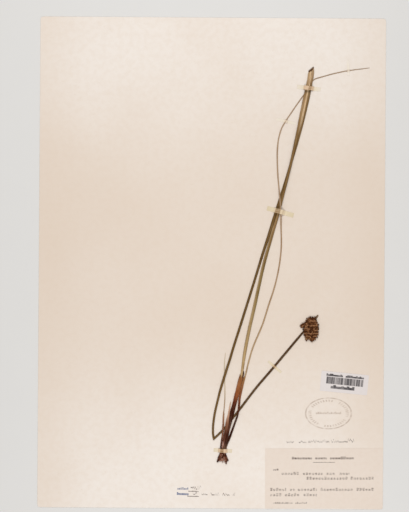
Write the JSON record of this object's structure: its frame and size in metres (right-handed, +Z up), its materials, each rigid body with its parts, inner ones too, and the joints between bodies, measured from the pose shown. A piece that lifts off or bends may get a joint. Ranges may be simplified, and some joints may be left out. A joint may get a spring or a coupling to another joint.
{
  "type": "pressed soft rush herbarium sheet",
  "caption": "Dried soft rush, pressed flat, folded to fit, and strapped with its labels to a cream herbarium mounting sheet.",
  "frame": {"origin": "middle of the mounting sheet's underside", "axes": "+X to the sheet's right, +Y to its head, +Z up out of the mounted face"},
  "size_m": [0.294, 0.4174, 0.0045],
  "materials": {
    "sheet_paper": "matte",
    "label_paper": "matte",
    "white_label_paper": "matte",
    "dry_root": "matte",
    "dry_culm": "matte",
    "pale_culm": "matte",
    "pale_shoot": "matte",
    "red_brown_sheath": "satin",
    "maroon_sheath": "satin",
    "thin_sheath": "satin",
    "dry_flowers": "matte",
    "gummed_paper": "matte"
  },
  "bodies": {
    "root": {"mounting_sheet": "sheet_paper", "collection_label": "label_paper", "catalogue_label": "white_label_paper", "rootstock": "dry_root", "flowering_culm": "dry_culm", "slender_culm": "pale_culm", "young_shoot": "pale_shoot", "culm_sheath": "red_brown_sheath", "slender_sheath": "maroon_sheath", "shoot_sheath": "maroon_sheath", "outer_sheath": "thin_sheath", "bract": "dry_culm", "flower_head": "dry_flowers", "strap_top": "gummed_paper", "strap_middle": "gummed_paper", "strap_flower_stem": "gummed_paper", "strap_slender": "gummed_paper", "strap_tip": "gummed_paper", "strap_base": "gummed_paper"}
  },
  "joints": []
}
